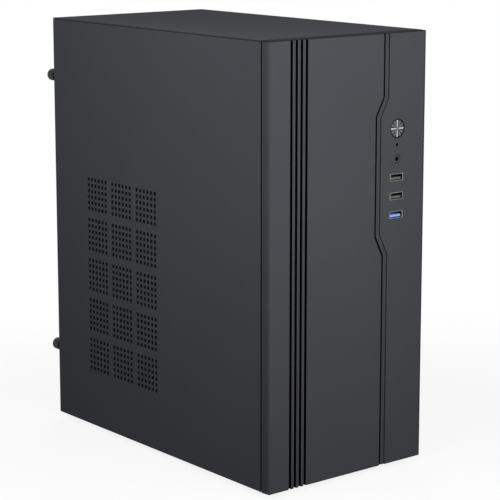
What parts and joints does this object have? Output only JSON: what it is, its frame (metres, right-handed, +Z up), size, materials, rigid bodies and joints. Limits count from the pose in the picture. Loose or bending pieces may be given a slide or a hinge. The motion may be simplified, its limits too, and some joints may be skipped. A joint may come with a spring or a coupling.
{
  "type": "micro atx pc case",
  "caption": "Tall dark grey micro ATX computer case with a vented left side panel, a grooved front panel and a column of power button, light, headset jack and USB sockets.",
  "frame": {"origin": "on the floor under the middle of the case's outline", "axes": "+Z up, the front panel faces -Y, the vented side panel is on -X and the plain one on +X"},
  "size_m": [0.1608, 0.303, 0.354],
  "materials": {
    "painted_steel": "fine powder coat, dark grey",
    "grey_plastic": "fine matte grain, dark grey",
    "inner_steel": "satin dark coating",
    "button_metal": "turned and polished",
    "smoked_lens": "smoked clear plastic",
    "black_plastic": "moulded, black",
    "white_plastic": "moulded, white",
    "socket_steel": "plated sheet",
    "tongue_grey": "moulded, grey",
    "tongue_blue": "moulded, blue",
    "board_green": "green circuit board",
    "zinc_steel": "zinc plated",
    "standoff_brass": "turned",
    "foot_rubber": "moulded soft rubber",
    "black_mesh": "black nonwoven filter sheet"
  },
  "bodies": {
    "chassis": {"audio_jack": "black_plastic", "base_pan": "inner_steel", "drive_cage": "inner_steel", "foot_left_front": "foot_rubber", "foot_left_rear": "foot_rubber", "foot_right_front": "foot_rubber", "foot_right_rear": "foot_rubber", "front_frame": "inner_steel", "front_panel": "grey_plastic", "io_board": "board_green", "io_headers": "black_plastic", "io_screws": "zinc_steel", "led_lens": "smoked_lens", "motherboard_tray": "inner_steel", "power_switch": "black_plastic", "psu_shelf": "inner_steel", "rear_frame": "inner_steel", "slot_cover_1": "inner_steel", "slot_cover_2": "inner_steel", "slot_cover_3": "inner_steel", "slot_cover_4": "inner_steel", "slot_screws": "zinc_steel", "standoffs": "standoff_brass", "top_cover": "painted_steel", "upper_frame": "inner_steel", "usb_shell_1": "socket_steel", "usb_shell_2": "socket_steel", "usb_shell_3": "socket_steel", "usb_tongue_1": "tongue_grey", "usb_tongue_2": "tongue_grey", "usb_tongue_3": "tongue_blue"},
    "left_panel": {"left_side_panel": "painted_steel", "vent_filter": "black_mesh"},
    "right_panel": {"right_side_panel": "painted_steel"},
    "power_button": {"power_button_cap": "button_metal", "switch_plunger": "white_plastic"},
    "left_low_screw": {"thumbscrew_left_low": "black_plastic"},
    "left_high_screw": {"thumbscrew_left_high": "black_plastic"},
    "right_low_screw": {"thumbscrew_right_low": "black_plastic"},
    "right_high_screw": {"thumbscrew_right_high": "black_plastic"}
  },
  "joints": [
    {"name": "left_panel_slide", "type": "slide", "parent": "chassis", "child": "left_panel", "axis": [0, 1, 0], "range_m": [0, 0.27]},
    {"name": "right_panel_slide", "type": "slide", "parent": "chassis", "child": "right_panel", "axis": [0, 1, 0], "range_m": [0, 0.27]},
    {"name": "power_button_press", "type": "slide", "parent": "chassis", "child": "power_button", "axis": [0, 1, 0], "range_m": [0, 0.0015], "stiffness_N_per_m": 1000, "springref_m": -0.0005},
    {"name": "left_low_turn", "type": "hinge", "parent": "left_panel", "child": "left_low_screw", "pos_m": [-0.07525, 0.146, 0.064], "axis": [0, 1, 0], "continuous": true},
    {"name": "left_high_turn", "type": "hinge", "parent": "left_panel", "child": "left_high_screw", "pos_m": [-0.07525, 0.146, 0.304], "axis": [0, 1, 0], "continuous": true},
    {"name": "right_low_turn", "type": "hinge", "parent": "right_panel", "child": "right_low_screw", "pos_m": [0.07525, 0.146, 0.064], "axis": [0, 1, 0], "continuous": true},
    {"name": "right_high_turn", "type": "hinge", "parent": "right_panel", "child": "right_high_screw", "pos_m": [0.07525, 0.146, 0.304], "axis": [0, 1, 0], "continuous": true}
  ]
}
